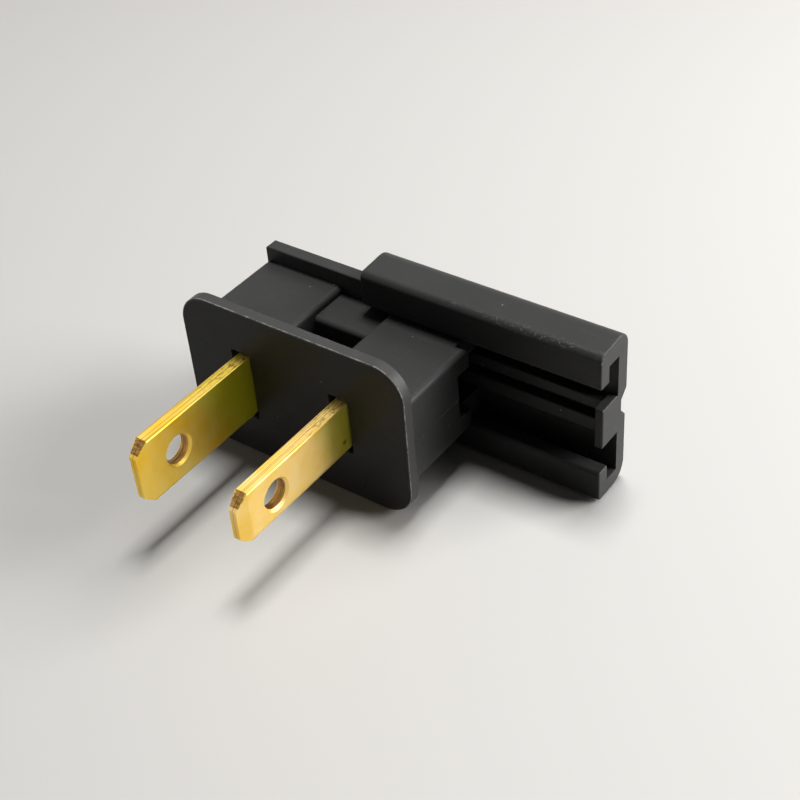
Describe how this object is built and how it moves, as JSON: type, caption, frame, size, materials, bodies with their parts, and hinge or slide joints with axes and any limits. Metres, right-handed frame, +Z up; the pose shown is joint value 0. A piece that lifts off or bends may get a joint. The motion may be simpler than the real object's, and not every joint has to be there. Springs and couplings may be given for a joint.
{
  "type": "slide plug",
  "caption": "Quick-wire slide plug for flat lamp cord: folded brass blades in a black body, with a cover that slides along rails to press the cord onto piercing teeth.",
  "frame": {"origin": "front surface of the face plate, midway between the blades", "axes": "-Y along the blades, out of the face plate; +X along the rails, the way the cover opens; +Z up, across the blades' width"},
  "size_m": [0.0436, 0.0344, 0.0192],
  "materials": {
    "body": "satin moulded",
    "cover": "satin moulded",
    "blade": "rolled, edges sheared"
  },
  "bodies": {
    "housing": {"plug_body": "body", "wide_blade": "blade", "narrow_blade": "blade"},
    "cover": {"slide_cover": "cover"}
  },
  "joints": [
    {"name": "cover_slide", "type": "slide", "parent": "housing", "child": "cover", "axis": [1, 0, 0], "range_m": [-0.0149, 0.0114]}
  ]
}
